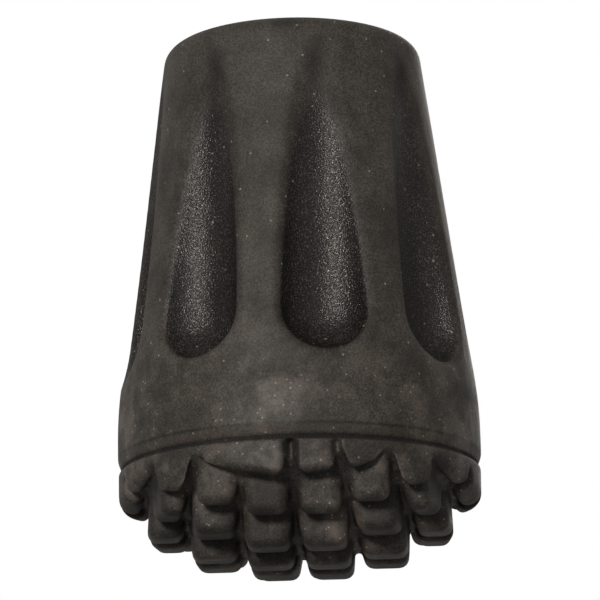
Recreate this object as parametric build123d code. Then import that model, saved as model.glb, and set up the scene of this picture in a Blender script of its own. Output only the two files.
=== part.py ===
"""Rubber tip that pushes over the end of a trekking pole.

One moulding in black rubber: a tapered barrel with a blind bore from the top, eight
flutes down its sides, a short skirt, and a domed tread of square studs below a seam.
Units are millimetres. The tip stands on its four middle studs: the origin is between
their ends, and +Z runs up the bore's axis and out of its mouth.
"""
import os
from math import radians, sqrt, tan

from build123d import *

# Barrel and skirt. Their heights are above the seam, where the tread starts.
body_height = 32.4        # seam to the flat top
skirt_radius = 13.5       # largest radius
taper_angle = 7.9         # barrel's side from vertical, degrees
skirt_height = 4.2        # where the barrel's side would meet the upright skirt
skirt_blend = 30.0        # radius of the bend between them
top_round = 1.3           # rounding of the top's outer corner
lip_height = 0.7          # chamfer on the skirt's lower edge
lip_setback = 0.25
seam_width = 0.35         # groove between skirt and tread
seam_setback = 0.6

# Bore for the pole's end: a blind hole from the top
bore_radius = 5.5
bore_length = 21.0        # parallel part, below the lead-in
lead_in = 0.8             # chamfer at the mouth
seat_radius = 4.0         # narrower seat for the pole's steel point
seat_cone_length = 2.5
seat_length = 5.0

# Flutes: upright ball-ended scoops round the barrel
flute_count = 8
flute_radius = 3.45
flute_floor_radius = 9.95     # from the tip's axis to the deepest line of a flute
flute_low_point = 6.3         # a flute's lower end, above the seam
flute_round = 0.7             # rounding of a flute's edges

# Tread: square studs on a dome, in rows and columns that are turned a little from the flutes.
# The grooves' distances from the middle are shares of the tread's radius, each given at the
# lowest ends and at the seam.
tread_depth = 7.8         # seam to the ends of the middle studs
tread_setback = 0.05      # the tread is this much smaller than the skirt
tread_turn = -12.2        # the rows' turn from the flutes, degrees
column_lines = ((0.0, 0.0), (0.32, 0.25), (0.64, 0.56), (0.93, 0.79))
row_lines = ((0.0, 0.0), (0.312, 0.312), (0.632, 0.65), (0.835, 0.85))
column_bow = 0.45         # how strongly the columns draw together towards the front and back
stud_gap = 1.05           # between the ends of two studs
stud_wall_angle = 10.0    # side of a stud from vertical, degrees
stud_round = 0.75         # rounding of its edges
stud_root = 4.2           # how far its sides run up into the dome
stud_levels = (           # ends of the studs in a quarter: each row starts in the middle
    (0.0, 0.65, 2.25, 4.6),
    (0.65, 1.7, 3.1, 5.6),
    (2.6, 3.4),
)
corner_level = 4.5        # end of the stud between the sides and the edges at front and back
edge_levels = (5.1, 5.6)  # ends of the two studs at those edges
joined_level = 5.4        # end of the one that fills both their places in two of the quarters
edge_tilt = 0.05          # slope of the edge studs' ends, for each mm from the row's middle
end_round = 0.5           # rounding of the outer edge of the studs at the front and back
side_round = 1.3          # and at the sides
dome_depth = 6.3          # floor of the grooves below the seam, at the middle
dome_shoulder_depth = 3.6
dome_rim_depth = 0.95     # and at the wall
dome_flat = 0.34          # radius of the dome's flat middle, as a share of the tread's radius
dome_shoulder = 0.77      # and of its shoulder
dome_round = 9.0          # rounding at both
notch_width = 1.2         # upright notches in the tread's wall, front and back
notch_depth = 1.2

seam_level = tread_depth
top_level = seam_level + body_height
tread_top = seam_level - seam_width
tread_radius = skirt_radius - tread_setback
root_limit = seam_level - (seam_width + dome_rim_depth) / 2   # inside the tread's solid rim
beyond_wall = (2.0, 2.0)


def turned(*edges):
    """Solid of revolution about Z from edges drawn as radius and height."""
    return revolve(Plane.XZ * make_face(edges), Axis.Z)


def barrel():
    """Barrel, skirt and dome, without the bore."""
    slope = tan(radians(taper_angle))
    side = FilletPolyline(
        (0, top_level),
        (skirt_radius - slope * (body_height - skirt_height), top_level),
        (skirt_radius, seam_level + skirt_height),
        (skirt_radius, seam_level + lip_height),
        radius=(top_round, skirt_blend),
    )
    wall_end = (tread_radius, seam_level - dome_rim_depth)
    lip = Polyline(
        (skirt_radius, seam_level + lip_height),
        (skirt_radius - lip_setback, seam_level),
        (tread_radius - seam_setback, seam_level - seam_width / 2),
        (tread_radius, tread_top),
        wall_end,
    )
    bottom = (0, seam_level - dome_depth)
    flat_end = (dome_flat * tread_radius, seam_level - dome_depth)
    shoulder = (dome_shoulder * tread_radius, seam_level - dome_shoulder_depth)
    dome = FilletPolyline(bottom, flat_end, shoulder, wall_end, radius=dome_round)
    return turned(side, lip, dome, Line(bottom, (0, top_level)))


def bore():
    """The blind hole, with its lead-in, parallel part, cone and seat."""
    lead_end = top_level - lead_in
    parallel_end = lead_end - bore_length
    cone_end = parallel_end - seat_cone_length
    floor = cone_end - seat_length
    outline = Polyline(
        (0, top_level),
        (bore_radius + lead_in, top_level),
        (bore_radius, lead_end),
        (bore_radius, parallel_end),
        (seat_radius, cone_end),
        (seat_radius, floor),
        (0, floor),
        (0, top_level),
    )
    return turned(outline)


def flutes():
    """Ball-ended upright rods to take away, one for each flute."""
    centre = flute_floor_radius + flute_radius
    slope = tan(radians(taper_angle))
    surface = skirt_radius - slope * (flute_low_point - skirt_height)
    ball_rise = sqrt(flute_radius**2 - (centre - surface) ** 2)
    ball_level = seam_level + flute_low_point + ball_rise
    rod_length = top_level - ball_level + flute_radius
    ball = Pos(centre, 0, ball_level) * Sphere(flute_radius)
    rod = Pos(centre, 0, ball_level + rod_length / 2) * Cylinder(flute_radius, rod_length)
    scoop = ball + rod
    return [Rot(0, 0, 360 * n / flute_count - 90) * scoop for n in range(flute_count)]


def crossing(column_line, row_line, level):
    """Where the groove along a column crosses the one along a row, at a level."""
    across, along = [low + (high - low) * level / seam_level for low, high in (column_line, row_line)]
    bow = column_bow * (min(across, 1) * min(along, 1)) ** 2
    return tread_radius * across * (1 - bow), tread_radius * along


def stud(column, row, level, side_x, side_y):
    """One stud between two column lines and two row lines, with its end at this level.

    side_x and side_y are 1 or -1 and say which quarter of the tread it is in.
    """
    root = min(level + stud_root, root_limit)
    draft = tan(radians(stud_wall_angle))

    def section(height):
        inset = stud_gap / 2 - draft * (height - level)
        corners = []
        for i, j in ((0, 0), (1, 0), (1, 1), (0, 1)):
            x, y = crossing(column[i], row[j], height)
            x += (inset, -inset)[i]
            y += (inset, -inset)[j]
            corners.append((side_x * x, side_y * y))
        return Pos(0, 0, height) * Polygon(*corners[:: side_x * side_y], align=None)

    at_side = column[1] == beyond_wall
    at_end = row[1] == beyond_wall
    near_x, near_y = crossing(column[0], row[0], level)
    far_x, far_y = crossing(column[1], row[1], level)
    x = side_x * (near_x if at_side else (near_x + far_x) / 2)
    y = side_y * (near_y if at_end else (near_y + far_y) / 2)
    tilt_x = edge_tilt * x if at_end and not at_side else 0
    tilt_y = edge_tilt * y if at_side and not at_end else 0
    end_plane = Plane(origin=(x, y, level), z_dir=(-tilt_x, -tilt_y, 1))
    block = loft([section(level - 2 * stud_gap), section(root)], ruled=True)
    block = split(block, bisect_by=end_plane, keep=Keep.TOP)
    exposed = block.edges().filter_by(lambda edge: edge.center().Z < root - stud_round / 2)
    block = fillet(exposed, stud_round)
    if at_side or at_end:
        wall = Pos(0, 0, tread_top / 2) * Cylinder(tread_radius, 2 * tread_top)
        wall = split(wall, bisect_by=end_plane, keep=Keep.TOP)
        wall_end = wall.faces().filter_by(GeomType.PLANE).sort_by(Axis.Z)[0]
        block &= fillet(wall_end.edges(), end_round if at_end else side_round)
    return block


def studs():
    """Every stud. Two are joined into one at the front edge, and two at the back."""
    columns = list(zip(column_lines, column_lines[1:] + (beyond_wall,)))
    rows = list(zip(row_lines, row_lines[1:] + (beyond_wall,)))
    inner = [
        (column, row, level)
        for row, levels in zip(rows, stud_levels)
        for column, level in zip(columns, levels)
    ]
    inner.append(((column_lines[2], beyond_wall), (row_lines[2], beyond_wall), corner_level))
    outer_place = (column_lines[1], column_lines[3])
    apart = [(columns[0], rows[3], edge_levels[0]), (outer_place, rows[3], edge_levels[1])]
    joined = [((column_lines[0], column_lines[3]), rows[3], joined_level)]
    for side_x in (1, -1):
        for side_y in (1, -1):
            for place in inner + (joined if side_x == side_y else apart):
                yield stud(*place, side_x, side_y)


def notches():
    """Upright V-notches in the tread's wall, where grooves run out at its front and back."""
    level = edge_levels[0] - stud_gap
    mouth = Polygon(
        (-notch_width, -notch_depth), (notch_width, -notch_depth), (0, notch_depth), align=None
    )
    notch = extrude(mouth, tread_top - level)
    for turn in (0, 180):
        for line in column_lines[:2]:
            x, y = crossing(line, (1, 1), tread_top)
            yield Rot(0, 0, turn) * Pos(x, -y, level) * notch


tread = list(studs())
print(len(tread), "studs")
tip = barrel() + tread
tip -= list(notches())
tip = Rot(0, 0, tread_turn) * tip
tip -= flutes()
flute_edges = tip.edges().filter_by(GeomType.BSPLINE).filter_by_position(Axis.Z, seam_level, top_level)
tip = fillet(flute_edges, flute_round)
tip -= bore()
os.makedirs("parts", exist_ok=True)
export_step(tip, "parts/rubber_tip.step")
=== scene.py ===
import math

import bmesh
import bpy
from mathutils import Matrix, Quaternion, Vector


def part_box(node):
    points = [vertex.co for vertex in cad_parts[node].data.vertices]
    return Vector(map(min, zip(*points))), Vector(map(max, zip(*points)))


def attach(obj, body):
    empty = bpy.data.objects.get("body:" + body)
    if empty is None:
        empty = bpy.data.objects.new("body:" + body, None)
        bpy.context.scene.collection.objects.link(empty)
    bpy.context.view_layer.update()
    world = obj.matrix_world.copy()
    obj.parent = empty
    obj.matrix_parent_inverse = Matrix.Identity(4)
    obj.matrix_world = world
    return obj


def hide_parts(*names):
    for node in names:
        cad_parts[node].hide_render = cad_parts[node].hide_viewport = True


mm = 0.001

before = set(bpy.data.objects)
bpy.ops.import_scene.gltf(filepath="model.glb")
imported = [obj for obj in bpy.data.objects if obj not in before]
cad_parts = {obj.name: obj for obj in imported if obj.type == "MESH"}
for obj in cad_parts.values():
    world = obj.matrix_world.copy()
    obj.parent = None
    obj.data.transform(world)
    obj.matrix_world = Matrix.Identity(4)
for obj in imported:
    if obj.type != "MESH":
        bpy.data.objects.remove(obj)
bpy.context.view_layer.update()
tipLow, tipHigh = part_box("rubber_tip")
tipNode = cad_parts["rubber_tip"]
seamHeight = tipLow.z + 7.8 * mm  # where the skirt meets the tread
print("frame loaded")


# the camera looks up at the tread from low in front
camera = {
    "distance": 298 * mm,
    "turn": -9.45,  # round the tip, in degrees
    "rise": -13.3,  # below level, looking up
    "roll": 1.06,
    "aimHeight": 19.7 * mm,
    "lens": 238.35,
    "shift": (0.0052, 0.0222),
}


def awayFrom(target, turn, rise, distance):
    turn = math.radians(turn)
    rise = math.radians(rise)
    direction = Vector((math.sin(turn) * math.cos(rise), -math.cos(turn) * math.cos(rise), math.sin(rise)))
    return target + direction * distance


def placeAndAim(thing, target, turn, rise, distance, roll=0.0):
    thing.location = awayFrom(target, turn, rise, distance)
    facing = (target - thing.location).to_track_quat("-Z", "Y")
    thing.rotation_mode = "QUATERNION"
    thing.rotation_quaternion = facing @ Quaternion((0, 0, 1), -math.radians(roll))
    bpy.context.scene.collection.objects.link(thing)


cameraData = bpy.data.cameras.new("camera")
cameraData.sensor_width = 36
cameraData.lens = camera["lens"]
cameraData.shift_x, cameraData.shift_y = camera["shift"]
cameraData.clip_start = 10 * mm
cameraObject = bpy.data.objects.new("camera", cameraData)
aim = Vector((0, 0, camera["aimHeight"]))
placeAndAim(cameraObject, aim, camera["turn"], camera["rise"], camera["distance"], camera["roll"])
bpy.context.scene.camera = cameraObject
print("camera placed")


# the moulding itself, as one even mesh
moulding = {
    "weld": 0.0005 * mm,  # points closer than this are one
    "grid": 0.13 * mm,  # size of the mesh's cells while it is rounded
    "softening": 8,  # smoothing passes on the whole of it
    "barrelSoftening": 4,  # more on the barrel
    "evening": 60,  # and most on the skirt's bend and the flutes' edges higher up
    "barrelBlend": (2.0 * mm, 4.0 * mm),  # above the seam, where the second sets in
    "fluteBlend": (9 * mm, 17 * mm),  # and the third
    "topBlend": (1.6 * mm, 3.0 * mm),  # below the top, where the third fades out
    "bendStart": (0.9 * mm, 1.8 * mm),  # of the skirt's bend, above the seam
    "bendEnd": (6.0 * mm, 5.2 * mm),
    "boreReach": 7.5 * mm,  # nearer the axis than this the barrel isn't smoothed
    "triangles": 185000,
}


def mergedCopy(node, name):
    mesh = bpy.data.meshes.new(name)
    bm = bmesh.new()
    bm.from_mesh(node.data)
    bmesh.ops.remove_doubles(bm, verts=bm.verts, dist=moulding["weld"])
    bmesh.ops.dissolve_degenerate(bm, edges=bm.edges, dist=moulding["weld"])
    bm.to_mesh(mesh)
    bm.free()
    piece = bpy.data.objects.new(name, mesh)
    bpy.context.scene.collection.objects.link(piece)
    return piece


def applyModifiers(piece):
    bpy.context.view_layer.update()
    evaluated = piece.evaluated_get(bpy.context.evaluated_depsgraph_get())
    finished = bpy.data.meshes.new_from_object(evaluated)
    piece.modifiers.clear()
    old = piece.data
    piece.data = finished
    bpy.data.meshes.remove(old)


def shareBetween(value, low, high):
    return min(1.0, max(0.0, (value - low) / (high - low)))


def aboveSeam(rises):
    return [seamHeight + rise for rise in rises]


def belowTop(drops):
    return [tipHigh.z - drop for drop in drops]


def addSmooth(piece, group, passes):
    smooth = piece.modifiers.new("smooth " + group, "SMOOTH")
    smooth.factor = 0.5
    smooth.iterations = passes
    smooth.vertex_group = group


def weighVertices(piece):
    lips = piece.vertex_groups.new(name="lips")
    barrel = piece.vertex_groups.new(name="barrel")
    evened = piece.vertex_groups.new(name="evened")
    barrelBlend = aboveSeam(moulding["barrelBlend"])
    fluteBlend = aboveSeam(moulding["fluteBlend"])
    topBlend = belowTop(moulding["topBlend"])
    bendStart = aboveSeam(moulding["bendStart"])
    bendEnd = aboveSeam(moulding["bendEnd"])
    for vertex in piece.data.vertices:
        height = vertex.co.z
        onBarrel = shareBetween(height, *barrelBlend)
        onFlutes = shareBetween(height, *fluteBlend) * shareBetween(height, *topBlend)
        onBend = shareBetween(height, *bendStart) * shareBetween(height, *bendEnd)
        if height > seamHeight and math.hypot(vertex.co.x, vertex.co.y) < moulding["boreReach"]:
            onBarrel = onFlutes = onBend = 0.0  # the bore keeps its fit
        lips.add([vertex.index], 1.0, "REPLACE")
        barrel.add([vertex.index], onBarrel, "REPLACE")
        evened.add([vertex.index], max(onFlutes, onBend), "REPLACE")


def buildMoulding():
    piece = mergedCopy(tipNode, "moulding")
    remesh = piece.modifiers.new("even grid", "REMESH")
    remesh.mode = "VOXEL"
    remesh.voxel_size = moulding["grid"]
    applyModifiers(piece)
    print("moulding remeshed:", len(piece.data.polygons), "faces")

    weighVertices(piece)
    addSmooth(piece, "lips", moulding["softening"])
    addSmooth(piece, "barrel", moulding["barrelSoftening"])
    addSmooth(piece, "evened", moulding["evening"])
    thin = piece.modifiers.new("thin out", "DECIMATE")
    thin.ratio = min(1.0, moulding["triangles"] / (2 * len(piece.data.polygons)))
    applyModifiers(piece)
    piece.vertex_groups.clear()
    for polygon in piece.data.polygons:
        polygon.use_smooth = True
    print("moulding finished:", len(piece.data.polygons), "faces")
    return piece


mouldingPiece = buildMoulding()
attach(mouldingPiece, "root")
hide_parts("rubber_tip")


# its black rubber, with heights given above the seam, scales for each metre,
# and lists as pairs of a noise's value and what comes of it
rubber = {
    "worn": (0.0415, 0.0365, 0.031, 1),  # ribs, skirt and the studs' faces, dull with handling
    "pale": (0.058, 0.051, 0.0435, 1),  # chalky places on them
    "freshWithShade": (0.0075, 0.007, 0.0065, 1),  # rubber in the flutes, less worn, darkened further with painted shade of their hollows
    "treadTint": (0.80, 0.825, 0.84, 1),  # the tread is a little darker and greyer
    "bloomAndPaintedLight": (0.14, 0.11, 0.095, 1),  # thin dust, a little red, and painted light on the lip
    "dust": (0.35, 0.31, 0.28, 1),  # specks and glitter

    # roughness
    "skirtFinish": [(0.36, 0.64), (0.62, 0.51)],
    "handledFinish": [(0.3, 0.65), (0.7, 0.57)],  # ribs and tread
    "edgeFinish": (0.8, 0.8, 0.8, 1),  # the flutes' worn edges
    "fluteFinish": [(0.38, 0.42), (0.60, 0.22)],
    "refraction": 1.5,

    # large clouds, and the smaller patches that cover them
    "cloudScale": 170,
    "chalk": [(0.38, 0.0), (0.68, 1.0)],
    "coverScale": 330,
    "coverShade": [(0.38, 0.62), (0.58, 1.12)],

    # moulded grain, and the ripples of the whole surface
    "grainScale": 7600,
    "grainDepth": 0.065 * mm,
    "grainShade": [(0.35, 0.5), (0.65, 1.5)],
    "grainCatch": [(0.54, 0.0), (0.68, 0.5)],  # dust that it catches in the flutes
    "rubbedGrain": 0.2,  # share of its depth that is left elsewhere
    "rippleScale": 900,
    "rippleDepth": 0.03 * mm,
    "rippleStrength": 0.2,

    # flutes
    "flutes": 8,
    "taperStart": 4.2 * mm,  # where the ribs start to lean in
    "ribReach": (13.5 * mm, 9.59 * mm),  # the ribs' distance from the axis, there and at the top
    "barrelStart": (3 * mm, 5 * mm),
    "barrelEnd": (3.0 * mm, 1.3 * mm),  # below the top
    "shelterStart": 0.02 * mm,  # depth below the ribs where the fresh rubber and its painted shade start
    "shelterFull": (0.50 * mm, 0.9 * mm),  # and where it is full, low and high on the barrel
    "shelterLow": 8 * mm,  # height of the first of these
    "edge": 0.12 * mm,  # depth over which a flute's edge turns dull
    "upperEnds": (18 * mm, 28 * mm),  # where the painted shade spreads beyond the flutes
    "upperWidth": (0.30, 0.14),  # its half width there, in radians
    # painted shade at the flutes' upper ends, where no flute is cut
    "upperPaintedShade": 0.8,

    # dust: a grain's middle and rim, as shares of its cell, and its strength
    "speckScale": 950,
    "specks": (0.06, 0.10, 0.7),
    "glitterScale": 1900,
    "glitter": (0.10, 0.18, 0.8),
    "glitterCover": [(0.48, 0.0), (0.60, 1.0)],
    "bloomCover": [(0.50, 0.0), (0.70, 0.6)],
    "dustTop": (9 * mm, 2 * mm),  # it thickens from the first height down to the second
    "treadStart": (-1 * mm, 0),
    "treadDust": 0.4,  # so much more bloom lies on the tread

    # bands: their middle, and how far from it they are full and gone
    "seam": (-0.17 * mm, 0.1 * mm, 0.3 * mm),
    # painted shade in the seam's groove
    "seamPaintedShade": 0.25,
    "lip": (0.38 * mm, 0.1 * mm, 0.36 * mm),  # painted light: a little paler, where the lip's chamfer faces down
    "lipPaintedLight": 0.14,
    "lipLine": (0.80 * mm, 0, 0.2 * mm),  # painted shade of a fine groove on top of the lip
    "lipLinePaintedShade": [(0.40, 0.3), (0.62, 0.7)],
    "skirt": (2 * mm, 1 * mm, 9 * mm),
}


def node(tree, kind, **settings):
    made = tree.nodes.new(kind)
    for key, value in settings.items():
        setattr(made, key, value)
    return made


def noise(tree, coordinates, scale, detail=3.0, roughness=0.5):
    made = node(tree, "ShaderNodeTexNoise")
    made.inputs["Scale"].default_value = scale
    made.inputs["Detail"].default_value = detail
    made.inputs["Roughness"].default_value = roughness
    tree.links.new(coordinates, made.inputs["Vector"])
    return made.outputs["Fac"]


def feed(tree, socket, value):
    if isinstance(value, bpy.types.NodeSocket):
        tree.links.new(value, socket)
    else:
        socket.default_value = value


def ramp(tree, factor, stops):
    made = node(tree, "ShaderNodeValToRGB")
    elements = made.color_ramp.elements
    while len(elements) < len(stops):
        elements.new(0.5)
    for element, (place, shade) in zip(elements, stops):
        element.position = place
        element.color = (shade, shade, shade, 1)
    tree.links.new(factor, made.inputs["Fac"])
    return made.outputs["Color"]


def mapRange(tree, value, low, high, toLow=0.0, toHigh=1.0, kind="SMOOTHSTEP"):
    made = node(tree, "ShaderNodeMapRange", interpolation_type=kind)
    names = ("Value", "From Min", "From Max", "To Min", "To Max")
    for name, setting in zip(names, (value, low, high, toLow, toHigh)):
        feed(tree, made.inputs[name], setting)
    return made.outputs["Result"]


def maths(tree, operation, first, second=0.0):
    made = node(tree, "ShaderNodeMath", operation=operation)
    feed(tree, made.inputs[0], first)
    feed(tree, made.inputs[1], second)
    return made.outputs["Value"]


def mixColours(tree, factor, first, second, blend="MIX"):
    made = node(tree, "ShaderNodeMix", data_type="RGBA", blend_type=blend)
    for socket, value in zip((made.inputs[0], made.inputs[6], made.inputs[7]), (factor, first, second)):
        feed(tree, socket, value)
    return made.outputs[2]


def bump(tree, height, strength, distance, normal=None):
    made = node(tree, "ShaderNodeBump")
    made.inputs["Strength"].default_value = strength
    made.inputs["Distance"].default_value = distance
    tree.links.new(height, made.inputs["Height"])
    if normal:
        tree.links.new(normal, made.inputs["Normal"])
    return made.outputs["Normal"]


def voronoi(tree, coordinates, scale):
    made = node(tree, "ShaderNodeTexVoronoi")
    made.inputs["Scale"].default_value = scale
    tree.links.new(coordinates, made.inputs["Vector"])
    return made.outputs["Distance"]


# one value inside a band round the tip and another outside it
def band(tree, height, sizes, inside, outside):
    middle, near, far = sizes
    offset = maths(tree, "ABSOLUTE", maths(tree, "SUBTRACT", height, seamHeight + middle))
    return mapRange(tree, offset, near, far, inside, outside)


def multiplied(tree, colour, shade):
    return mixColours(tree, 1.0, colour, shade, "MULTIPLY")


# how far the surface lies below the ribs, and how sheltered it is, which sets where painted shade darkens
# the flutes
def fluteMasks(tree, parts):
    height = parts.outputs["Z"]
    acrossX = maths(tree, "MULTIPLY", parts.outputs["X"], parts.outputs["X"])
    acrossY = maths(tree, "MULTIPLY", parts.outputs["Y"], parts.outputs["Y"])
    reach = maths(tree, "SQRT", maths(tree, "ADD", acrossX, acrossY))
    taperStart = seamHeight + rubber["taperStart"]
    ribs = mapRange(tree, height, taperStart, tipHigh.z, *rubber["ribReach"], "LINEAR")
    depth = maths(tree, "SUBTRACT", ribs, reach)
    shelterLow = seamHeight + rubber["shelterLow"]
    full = mapRange(tree, height, shelterLow, tipHigh.z, *rubber["shelterFull"], "LINEAR")
    inFlute = mapRange(tree, depth, rubber["shelterStart"], full)
    onBarrel = mapRange(tree, height, *aboveSeam(rubber["barrelStart"]))
    underTop = mapRange(tree, height, *belowTop(rubber["barrelEnd"]), 1.0, 0.0)
    onBarrel = maths(tree, "MULTIPLY", onBarrel, underTop)
    sheltered = maths(tree, "MULTIPLY", inFlute, onBarrel)

    # the flutes' upper ends fade out, so painted shade carries them on, going by the turn from a flute's
    # middle
    turn = maths(tree, "ARCTAN2", parts.outputs["Y"], parts.outputs["X"])
    fromFlute = maths(tree, "PINGPONG", turn, math.pi / rubber["flutes"])
    upper = mapRange(tree, height, *aboveSeam(rubber["upperEnds"]))
    width = mapRange(tree, upper, 0.0, 1.0, *rubber["upperWidth"], "LINEAR")
    nearFlute = maths(tree, "SUBTRACT", 1.0, mapRange(tree, fromFlute, 0.0, width))
    paintedShadeAbove = maths(tree, "MULTIPLY", nearFlute, maths(tree, "MULTIPLY", upper, underTop))
    freshWithShadeMask = maths(tree, "MAXIMUM", sheltered, maths(tree, "MULTIPLY", paintedShadeAbove, rubber["upperPaintedShade"]))
    atEdge = maths(tree, "MULTIPLY", mapRange(tree, depth, 0.0, rubber["edge"]), onBarrel)
    return sheltered, freshWithShadeMask, atEdge


# dust and fine glitter lie in patches low on the skirt and on the tread
def dusted(tree, place, height, cover, colour):
    specks = mapRange(tree, voronoi(tree, place, rubber["speckScale"]), *rubber["specks"], 0.0)
    colour = mixColours(tree, specks, colour, rubber["dust"])
    colour = multiplied(tree, colour, ramp(tree, cover, rubber["coverShade"]))

    low = mapRange(tree, height, *aboveSeam(rubber["dustTop"]))
    onTread = mapRange(tree, height, *aboveSeam(rubber["treadStart"]), 1.0, 0.0)
    colour = mixColours(tree, onTread, colour, multiplied(tree, colour, rubber["treadTint"]))
    thicker = maths(tree, "ADD", 1.0, maths(tree, "MULTIPLY", onTread, rubber["treadDust"]))
    patches = maths(tree, "MULTIPLY", ramp(tree, cover, rubber["bloomCover"]), thicker)
    colour = mixColours(tree, maths(tree, "MULTIPLY", patches, low), colour, rubber["bloomAndPaintedLight"])

    glitter = mapRange(tree, voronoi(tree, place, rubber["glitterScale"]), *rubber["glitter"], 0.0)
    dusty = maths(tree, "MULTIPLY", ramp(tree, cover, rubber["glitterCover"]), low)
    return mixColours(tree, maths(tree, "MULTIPLY", glitter, dusty), colour, rubber["dust"])


# painted shade in the seam, painted light on the lip above it and a fine line of painted shade on top of
# that
def seamLines(tree, height, cover, colour):
    # painted shade: darker in the seam and along the fine line atop the lip
    seamPaintedShade = band(tree, height, rubber["seam"], rubber["seamPaintedShade"], 1.0)
    uneven = ramp(tree, cover, rubber["lipLinePaintedShade"])
    lipLinePaintedShade = band(tree, height, rubber["lipLine"], uneven, 1.0)
    # painted light on the down-facing lip
    onLip = band(tree, height, rubber["lip"], rubber["lipPaintedLight"], 0.0)
    colour = mixColours(tree, onLip, colour, rubber["bloomAndPaintedLight"])
    return multiplied(tree, colour, maths(tree, "MULTIPLY", seamPaintedShade, lipLinePaintedShade)), seamPaintedShade


def rubberMaterial():
    material = bpy.data.materials.new("black rubber")
    material.use_nodes = True
    tree = material.node_tree
    shader = tree.nodes["Principled BSDF"]
    place = node(tree, "ShaderNodeTexCoord").outputs["Object"]
    parts = node(tree, "ShaderNodeSeparateXYZ")
    tree.links.new(place, parts.inputs["Vector"])
    height = parts.outputs["Z"]
    sheltered, freshWithShadeMask, atEdge = fluteMasks(tree, parts)
    clouds = noise(tree, place, rubber["cloudScale"], 4.0, 0.6)
    cover = noise(tree, place, rubber["coverScale"], 5.0, 0.7)
    grain = noise(tree, place, rubber["grainScale"], 1.0, 0.6)

    colour = mixColours(tree, ramp(tree, clouds, rubber["chalk"]), rubber["worn"], rubber["pale"])
    # painted shade: the flutes' hollows darkened, besides their less worn rubber
    colour = mixColours(tree, freshWithShadeMask, colour, rubber["freshWithShade"])
    colour = multiplied(tree, colour, ramp(tree, grain, rubber["grainShade"]))
    caught = maths(tree, "MULTIPLY", sheltered, ramp(tree, grain, rubber["grainCatch"]))
    colour = mixColours(tree, caught, colour, rubber["bloomAndPaintedLight"])
    colour = dusted(tree, place, height, cover, colour)
    colour, seamPaintedShade = seamLines(tree, height, cover, colour)
    tree.links.new(colour, shader.inputs["Base Color"])

    # the skirt shines a little, the ribs and the tread less, and the flutes' worn edges least
    offSkirt = band(tree, height, rubber["skirt"], 0.0, 1.0)
    handled = ramp(tree, clouds, rubber["handledFinish"])
    smoother = ramp(tree, cover, rubber["skirtFinish"])
    dull = mixColours(tree, offSkirt, smoother, handled)
    dull = mixColours(tree, atEdge, dull, rubber["edgeFinish"])
    finish = mixColours(tree, sheltered, dull, ramp(tree, grain, rubber["fluteFinish"]))
    finish = mixColours(tree, seamPaintedShade, (1, 1, 1, 1), finish)
    tree.links.new(finish, shader.inputs["Roughness"])
    shader.inputs["IOR"].default_value = rubber["refraction"]

    # the grain stands out in the flutes and is rubbed down elsewhere
    ripple = noise(tree, place, rubber["rippleScale"])
    kept = mapRange(tree, sheltered, 0.0, 1.0, rubber["rubbedGrain"], 1.0)
    normal = bump(tree, maths(tree, "MULTIPLY", grain, kept), 1.0, rubber["grainDepth"])
    normal = bump(tree, ripple, rubber["rippleStrength"], rubber["rippleDepth"], normal)
    tree.links.new(normal, shader.inputs["Normal"])
    return material


mouldingPiece.data.materials.clear()
mouldingPiece.data.materials.append(rubberMaterial())
print("rubber made")


# the floor it stands on
floor = {
    "size": 0.9,  # in metres
    "gap": 0.02 * mm,  # the tip's feet just clear it
    "colour": (0.82, 0.81, 0.80, 1),
    "roughness": 0.9,
    "specular": 0.1,
    "lift": 0.5,  # light of its own, so that it looks pale
    "fade": (0.22, 0.42),  # how far from the tip it starts to fade, and is gone
}


def floorMaterial():
    material = bpy.data.materials.new("pale floor")
    material.use_nodes = True
    tree = material.node_tree
    output = tree.nodes["Material Output"]
    shader = tree.nodes["Principled BSDF"]
    shader.inputs["Base Color"].default_value = floor["colour"]
    shader.inputs["Roughness"].default_value = floor["roughness"]
    shader.inputs["Specular IOR Level"].default_value = floor["specular"]
    shader.inputs["Emission Color"].default_value = (1, 1, 1, 1)
    shader.inputs["Emission Strength"].default_value = floor["lift"]
    clear = node(tree, "ShaderNodeBsdfTransparent")

    # it fades far away, and only the camera sees it, from above
    place = node(tree, "ShaderNodeTexCoord").outputs["Object"]
    reach = node(tree, "ShaderNodeVectorMath", operation="LENGTH")
    tree.links.new(place, reach.inputs[0])
    fade = mapRange(tree, reach.outputs["Value"], *floor["fade"])
    beneath = node(tree, "ShaderNodeNewGeometry").outputs["Backfacing"]
    seen = node(tree, "ShaderNodeLightPath").outputs["Is Camera Ray"]
    unseen = maths(tree, "SUBTRACT", 1.0, seen)
    clearness = maths(tree, "MAXIMUM", maths(tree, "MAXIMUM", fade, beneath), unseen)
    mix = node(tree, "ShaderNodeMixShader")
    tree.links.new(clearness, mix.inputs["Fac"])
    tree.links.new(shader.outputs["BSDF"], mix.inputs[1])
    tree.links.new(clear.outputs["BSDF"], mix.inputs[2])
    tree.links.new(mix.outputs["Shader"], output.inputs["Surface"])
    return material


def buildFloor():
    mesh = bpy.data.meshes.new("floor")
    bm = bmesh.new()
    bmesh.ops.create_grid(bm, x_segments=1, y_segments=1, size=floor["size"] / 2)
    bmesh.ops.translate(bm, verts=bm.verts, vec=(0, 0, tipLow.z - floor["gap"]))
    bm.to_mesh(mesh)
    bm.free()
    piece = bpy.data.objects.new("floor", mesh)
    piece.data.materials.append(floorMaterial())
    bpy.context.scene.collection.objects.link(piece)
    return piece


buildFloor()


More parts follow.
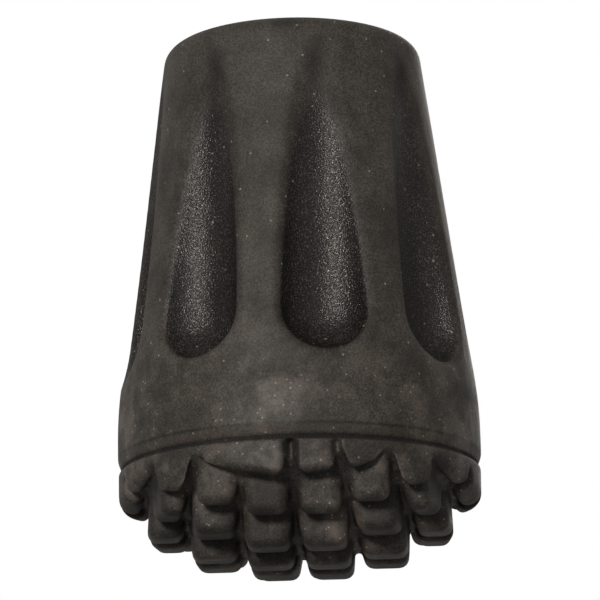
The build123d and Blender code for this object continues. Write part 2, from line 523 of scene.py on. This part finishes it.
# soft studio light
lamps = {
    # turn from the camera and rise in degrees, distance and width in metres, and watts
    "key": (-18, 10, 0.60, 0.12, 2.0),
    "fill": (42, 12, 0.70, 0.30, 0.15),
    "back": (168, 22, 0.60, 0.30, 1.0),
}
studio = {
    "lampColour": (1, 0.945, 0.88),
    "ambientColour": (1, 0.96, 0.91, 1),
    "ambient": (0.13, 0.27),  # its strength from below and from above
    "ambientRise": (-0.4, 0.1),  # upward part of the directions between which it changes
    "behind": 1.9,  # how much stronger it is from behind
    "behindStart": (-0.1, 0.6),  # backward part of those directions
    "backdrop": (1, 1, 1, 1),
}
for name, (turn, rise, distance, width, power) in lamps.items():
    lampData = bpy.data.lights.new(name, "AREA")
    lampData.shape = "DISK"
    lampData.size = width
    lampData.energy = power
    lampData.color = studio["lampColour"]
    placeAndAim(bpy.data.objects.new(name, lampData), aim, camera["turn"] + turn, rise, distance)


def buildWorld():
    world = bpy.data.worlds.new("studio")
    bpy.context.scene.world = world
    world.use_nodes = True
    tree = world.node_tree
    ambient = tree.nodes["Background"]
    ambient.inputs["Color"].default_value = studio["ambientColour"]
    direction = node(tree, "ShaderNodeSeparateXYZ")
    tree.links.new(node(tree, "ShaderNodeTexCoord").outputs["Generated"], direction.inputs["Vector"])
    fromAbove = mapRange(tree, direction.outputs["Z"], *studio["ambientRise"], *studio["ambient"])
    fromBehind = mapRange(tree, direction.outputs["Y"], *studio["behindStart"], 1.0, studio["behind"])
    feed(tree, ambient.inputs["Strength"], maths(tree, "MULTIPLY", fromAbove, fromBehind))

    # the camera sees a plain white backdrop instead
    backdrop = node(tree, "ShaderNodeBackground")
    backdrop.inputs["Color"].default_value = studio["backdrop"]
    backdrop.inputs["Strength"].default_value = 1.0
    seen = node(tree, "ShaderNodeLightPath").outputs["Is Camera Ray"]
    mix = node(tree, "ShaderNodeMixShader")
    tree.links.new(seen, mix.inputs["Fac"])
    tree.links.new(ambient.outputs["Background"], mix.inputs[1])
    tree.links.new(backdrop.outputs["Background"], mix.inputs[2])
    tree.links.new(mix.outputs["Shader"], tree.nodes["World Output"].inputs["Surface"])


buildWorld()
bpy.context.scene.view_settings.view_transform = "Standard"
print("floor and light ready")
